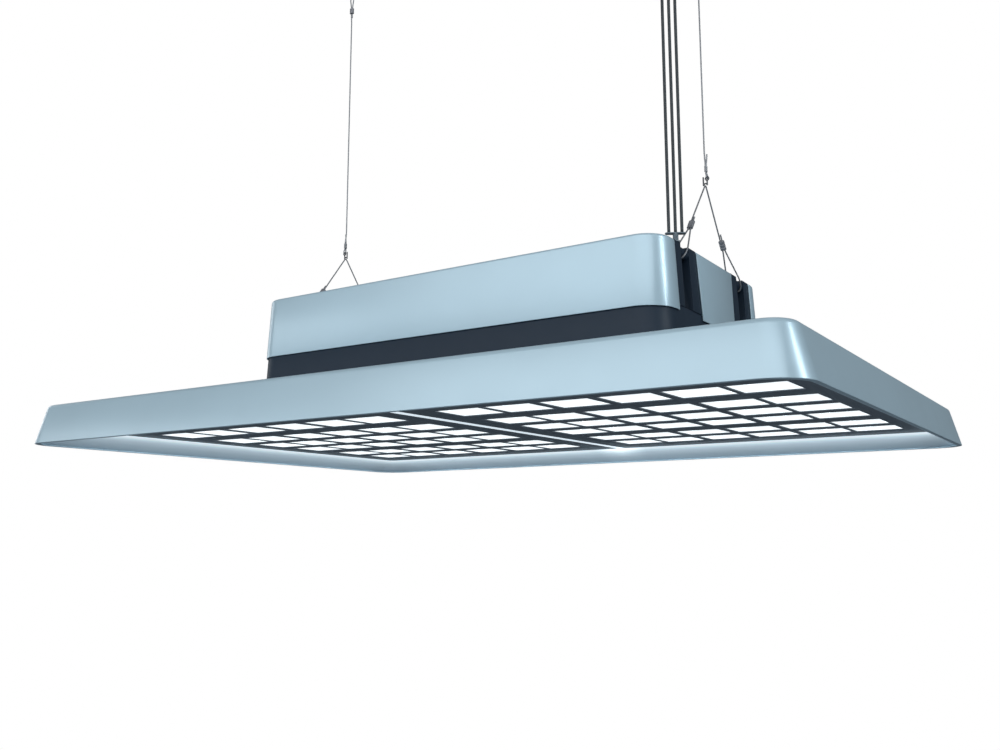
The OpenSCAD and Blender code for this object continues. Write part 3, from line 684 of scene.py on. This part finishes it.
def lead_plug(i):
    """A moulded connector on a lead: a ribbed tail, a grip with rings and an open socket."""
    tail = []
    for k in range(3):
        z, r = 0.0012 + k * 0.0024, 0.0036 + k * 0.0005
        tail += [(z, r), (z + 0.0003, r - 0.0005), (z + 0.001, r - 0.0004), (z + 0.0013, r + 0.0003)]
    body = [(0.0085, PLUG_R), (0.014, PLUG_R)]
    for k in range(4):
        z, groove = 0.0155 + k * 0.0022, PLUG_R - 0.0005
        body += [(z, PLUG_R), (z + 0.0003, groove), (z + 0.0009, groove), (z + 0.0012, PLUG_R)]
    mouth = [(PLUG_H - 0.0005, PLUG_R), (PLUG_H, PLUG_R - 0.0004)]
    plug = turned(f"lead_plug_{i + 1}", 0.0034, tail + body + mouth)
    reopen(plug)
    pick(plug, "FACE", lambda face: face.normal.z > 0.9 and len(face.verts) > 4)
    bpy.ops.mesh.inset(thickness=0.0009)
    bpy.ops.mesh.extrude_region_move(TRANSFORM_OT_translate={"value": (0, 0, -0.006)})
    bpy.ops.object.mode_set(mode="OBJECT")
    stood(plug, from_rim([(*LEAD_HEAD[i], LEAD_END)])[0])
    return seat(soften(plug, 0), "right_hanger", "connector_plastic", "lead_connectors")


# ---- sheet metal, traced up its section from a rounded outline

def rounded_sheet(name, length, width, radius, height):
    sheet = start_piece(name, bpy.ops.mesh.primitive_plane_add, size=1)
    bpy.ops.transform.resize(value=(length, width, 1), center_override=(0, 0, 0))
    bpy.ops.transform.translate(value=(0, 0, RIM + height))
    bpy.ops.mesh.bevel(offset=radius, segments=14, affect="VERTICES", clamp_overlap=False)
    pick(sheet, "FACE", lambda face: True)
    return sheet


def trace(section):
    """Carries the selected face along a section of (inset, height) points."""
    for (inset, height), (next_inset, next_height) in zip(section, section[1:]):
        bpy.ops.mesh.inset(thickness=next_inset - inset, depth=next_height - height, use_even_offset=True)


def quarter(centre_in, centre_z, radius, start, steps):
    """The (inset, height) points of an outer edge's arc, from an angle in degrees up to the top."""
    turns = [math.radians(start + (90 - start) * i / steps) for i in range(steps + 1)]
    return [(centre_in - radius * math.cos(a), centre_z + radius * math.sin(a)) for a in turns]


def thicken(piece, thickness, flip=False):
    """Gives an open sheet its wall, on the side away from its faces' normals."""
    if flip:
        bpy.ops.mesh.select_all(action="SELECT")
        bpy.ops.mesh.flip_normals()
    bpy.ops.object.mode_set(mode="OBJECT")
    apply_modifier(piece, "SOLIDIFY", thickness=thickness, offset=-1, use_even_offset=True)


def tray_shell():
    shell = rounded_sheet("tray_skin", TRAY_L, TRAY_W, TRAY_CORNER, 0)
    arc = quarter(TRAY_IN, TRAY_H - TRAY_EDGE, TRAY_EDGE, math.degrees(TRAY_LEAN), 7)
    trace([(0, 0), *arc])
    pick(shell, "EDGE", lambda edge: edge.is_boundary)
    bpy.ops.mesh.extrude_region_move(TRANSFORM_OT_translate={"value": (0, 0, 0)})
    bpy.ops.transform.resize(value=(1 - 2 * RIM_LIP / TRAY_L, 1 - 2 * RIM_LIP / TRAY_W, 1),
                             center_override=(0, 0, RIM))
    thicken(shell, SHEET)
    seat(soften(shell, 0.0007, 3, 40), "lamp", "pale_paint", "tray_shell")


def rim_bezel():
    start = SHEET / math.cos(TRAY_LEAN) + SHEET * math.tan(TRAY_LEAN) + BEZEL_GAP
    bezel = rounded_sheet("bezel_strip", TRAY_L - 2 * start, TRAY_W - 2 * start, TRAY_CORNER - start, SHEET)
    trace([(start, SHEET), (BEZEL_IN, BEZEL_TOP)])
    bpy.ops.mesh.delete(type="FACE")
    thicken(bezel, BEZEL_T, flip=True)
    # The bezel's finish carries a painted glow.
    seat(soften(bezel, 0.0003), "lamp", "bezel_paint", "rim_bezel")


def draft_at(height):
    return (BOX_TOP - height) * math.tan(BOX_DRAFT)


def housing_sheet(name, height, inside=0.0):
    out = draft_at(height) - inside
    return rounded_sheet(name, BOX_L + 2 * out, BOX_W + 2 * out, BOX_CORNER + out, height)


def plinth():
    top = COVER_Z + COVER_LAP
    band = housing_sheet("plinth_band", TRAY_H, PLINTH_IN)
    trace([(0, TRAY_H), (draft_at(TRAY_H) - draft_at(top), top)])
    bpy.ops.mesh.delete(type="FACE")
    thicken(band, SHEET)
    seat(soften(band, 0.0004), "lamp", "dark_paint", "plinth")


def cover_ring(name, cuts):
    """The covers' folded shell, with what lies past each cut taken away."""
    ring = housing_sheet(name, COVER_Z)
    out = draft_at(COVER_Z)
    arc = quarter(out + BOX_EDGE, BOX_TOP - BOX_EDGE, BOX_EDGE, math.degrees(BOX_DRAFT), 6)
    trace([(0, COVER_Z), *arc, (out + COVER_FLANGE, BOX_TOP)])
    bpy.ops.mesh.delete(type="FACE")
    thicken(ring, SHEET)
    for place, normal in cuts:
        reopen(ring)
        bpy.ops.mesh.select_all(action="SELECT")
        bpy.ops.mesh.bisect(plane_co=place, plane_no=normal, clear_outer=True, use_fill=True)
        bpy.ops.object.mode_set(mode="OBJECT")
    return soften(ring, 0.0005, 2, 40)


def covers():
    for word, side in (("front", -1), ("rear", 1)):
        piece = cover_ring(f"{word}_cover_shell", [((0, side * COVER_Y, 0), (0, -side, 0))])
        seat(piece, "lamp", "pale_paint", f"{word}_cover")
    foot = (END_PANEL_Y - END_PANEL_LEAN, RIM + COVER_Z - COVER_LAP)
    lean = END_PANEL_LEAN / (BOX_TOP - COVER_Z + COVER_LAP)
    for word, side in SIDES.items():
        cuts = [((side * END_PANEL_X, 0, 0), (-side, 0, 0))]
        cuts += [((0, y * foot[0], foot[1]), (0, y, -lean)) for y in (-1, 1)]
        seat(cover_ring(f"end_panel_shell_{word}", cuts), "lamp", "pale_paint", f"end_panel_{word}")


# ---- light panel

def lens_places(word):
    """Middles of one half's windows, from the bounds of the CAD lenses' separate blocks."""
    shape = bmesh.new()
    shape.from_mesh(NODES[f"lenses_{word}"].data)
    bmesh.ops.remove_doubles(shape, verts=shape.verts, dist=1e-5)
    seen, places = set(), []
    for vert in shape.verts:
        if vert in seen:
            continue
        block, queue = [], [vert]
        seen.add(vert)
        while queue:
            here = queue.pop()
            block.append(here.co)
            for edge in here.link_edges:
                other = edge.other_vert(here)
                if other not in seen:
                    seen.add(other)
                    queue.append(other)
        places.append(tuple((min(c[i] for c in block) + max(c[i] for c in block)) / 2 for i in (0, 1)))
    shape.free()
    return places


def lens():
    """One moulded diffuser: a rim, a shallow step and a slightly domed field."""
    piece = start_piece("diffuser", bpy.ops.mesh.primitive_cube_add, size=1)
    bpy.ops.transform.resize(value=(WINDOW, WINDOW, LENS_H), center_override=(0, 0, 0))
    bpy.ops.transform.translate(value=(0, 0, RIM + PANEL_Z + LENS_IN + LENS_H / 2))
    pick(piece, "EDGE", lambda edge: abs(edge.verts[0].co.z - edge.verts[1].co.z) > LENS_H / 2)
    bpy.ops.mesh.bevel(offset=0.0012, segments=3)
    pick(piece, "FACE", lambda face: face.normal.z < -0.9)
    bpy.ops.mesh.inset(thickness=0.0015, depth=0)
    bpy.ops.mesh.inset(thickness=0.0006, depth=-0.0006)
    bpy.ops.mesh.inset(thickness=0.012, depth=0.0002)
    bpy.ops.mesh.inset(thickness=0.012, depth=0.0001)
    return soften(piece, 0)


def lenses():
    model = lens()
    for word in SIDES:
        copies = [copy_at(model, (x, y, 0)) for x, y in lens_places(word)]
        seat(joined(copies, f"diffusers_{word}"), "lamp", "window_lens", f"lenses_{word}")
    bpy.data.objects.remove(model)


# ---- everything in its place

for part in frame["record"]["subparts"]:
    dress(NODES[part["node"]], part["material_slot"])

for word, side in SIDES.items():
    drop_wire(word, [*wire_sleeves(word, side), hook(word, side)])
    sling_wire(word, [sling_ferrules(word, side)])
    ceiling_link(word, side)
    ceiling_eye(word, side)
    refine(f"ceiling_plate_{word}", "ceiling", "ceiling_fitting", 0.0006, 3)
clip = refine("lead_clip", "right_hanger", "clip_plastic", 0.0012, 3)
for i in range(3):
    power_lead(i, [lead_plug(i)] + ([clip] if i == 1 else []))

tray_shell()
rim_bezel()
plinth()
covers()
lenses()
hanger_bars()
gland()
refine("top_cover", "lamp", "pale_paint", 0.0003)
# The divider's glow is painted light.
refine("centre_divider", "lamp", "white_strip", 0.0004)
for word in SIDES:
    refine(f"panel_{word}", "lamp", "slate_panel", 0.0003)
    refine(f"heat_sink_{word}", "lamp", "bare_aluminium", 0.0003)
    for end in ("front", "rear"):
        refine(f"bracket_{word}_{end}", "lamp", "dark_paint", 0.0008, 3)
refine("tray_screws", "lamp", "screw_steel", 0.0002)
cover_screws()


# ---- stage and light

FLOOR_Z, FLOOR_W = -2.6, 30


def add_floor():
    bpy.ops.object.select_all(action="DESELECT")
    bpy.ops.mesh.primitive_plane_add(size=FLOOR_W, location=(0, 0, FLOOR_Z))
    floor = bpy.context.object
    floor.name = "floor"
    f = Finish("floor_white").set(Base_Color=(0.3, 0.33, 0.36, 1), Roughness=0.9)
    paper = f.nodes.new("ShaderNodeEmission")
    mix = f.nodes.new("ShaderNodeMixShader")
    rays = f.nodes.new("ShaderNodeLightPath")
    f.links.new(rays.outputs["Is Camera Ray"], mix.inputs["Fac"])
    f.links.new(f.shader.outputs["BSDF"], mix.inputs[1])
    f.links.new(paper.outputs["Emission"], mix.inputs[2])
    f.links.new(mix.outputs["Shader"], f.nodes["Material Output"].inputs["Surface"])
    floor.data.materials.append(f.material)


def add_world():
    world = bpy.data.worlds.new("studio")
    bpy.context.scene.world = world
    world.use_nodes = True
    nodes, links = world.node_tree.nodes, world.node_tree.links
    room = nodes["Background"]
    room.inputs["Color"].default_value = (0.80, 0.90, 1.0, 1)
    room.inputs["Strength"].default_value = 0.15
    white = nodes.new("ShaderNodeBackground")
    white.inputs["Color"].default_value = (1, 1, 1, 1)
    white.inputs["Strength"].default_value = 1.0
    rays = nodes.new("ShaderNodeLightPath")
    seen = nodes.new("ShaderNodeMath")
    seen.operation = "MAXIMUM"
    links.new(rays.outputs["Is Camera Ray"], seen.inputs[0])
    links.new(rays.outputs["Is Transmission Ray"], seen.inputs[1])
    mix = nodes.new("ShaderNodeMixShader")
    links.new(seen.outputs[0], mix.inputs["Fac"])
    links.new(room.outputs[0], mix.inputs[1])
    links.new(white.outputs[0], mix.inputs[2])
    links.new(mix.outputs[0], nodes["World Output"].inputs["Surface"])


def add_lamp(name, place, aim, size, power, colour):
    data = bpy.data.lights.new(name, "AREA")
    data.shape = "RECTANGLE"
    data.size, data.size_y = size
    data.energy = power
    data.color = colour
    lamp = bpy.data.objects.new(name, data)
    lamp.location = place
    lamp.rotation_euler = (Vector(aim) - Vector(place)).to_track_quat("-Z", "Y").to_euler()
    bpy.context.collection.objects.link(lamp)
    return lamp


def add_panel_glow():
    """The light that the windows throw down and on the bezel round them."""
    place, below = (0, 0, RIM + PANEL_Z - 0.001), (0, 0, RIM - 1)
    glow = add_lamp("panel_glow", place, below, (1.10, 0.79), 12, (0.86, 0.95, 1.0))
    glow.visible_camera = False
    glow.visible_glossy = False
    glow.parent = frame["bodies"]["lamp"]


add_floor()
add_world()
MIDDLE = (0, 0, RIM + 0.1)
add_lamp("front_softbox", (0.5, -3.3, 0.5), MIDDLE, (7.4, 3.2), 124, (0.97, 0.99, 1.0))
add_lamp("left_softbox", (-4.3, -3.3, -0.1), MIDDLE, (2.2, 1.3), 15, (0.97, 0.99, 1.0))
add_lamp("top_softbox", (0.0, 0.6, 2.2), MIDDLE, (2.6, 2.0), 2, (1, 1, 1))
add_lamp("side_strip", (3.3, 0.25, 0.2), MIDDLE, (0.4, 1.8), 35, (0.9, 0.97, 1.0))
add_lamp("left_strip", (-3.4, 0.1, -0.2), MIDDLE, (0.8, 1.6), 8, (0.97, 0.99, 1.0))
add_panel_glow()
bpy.context.scene.view_settings.view_transform = "Standard"
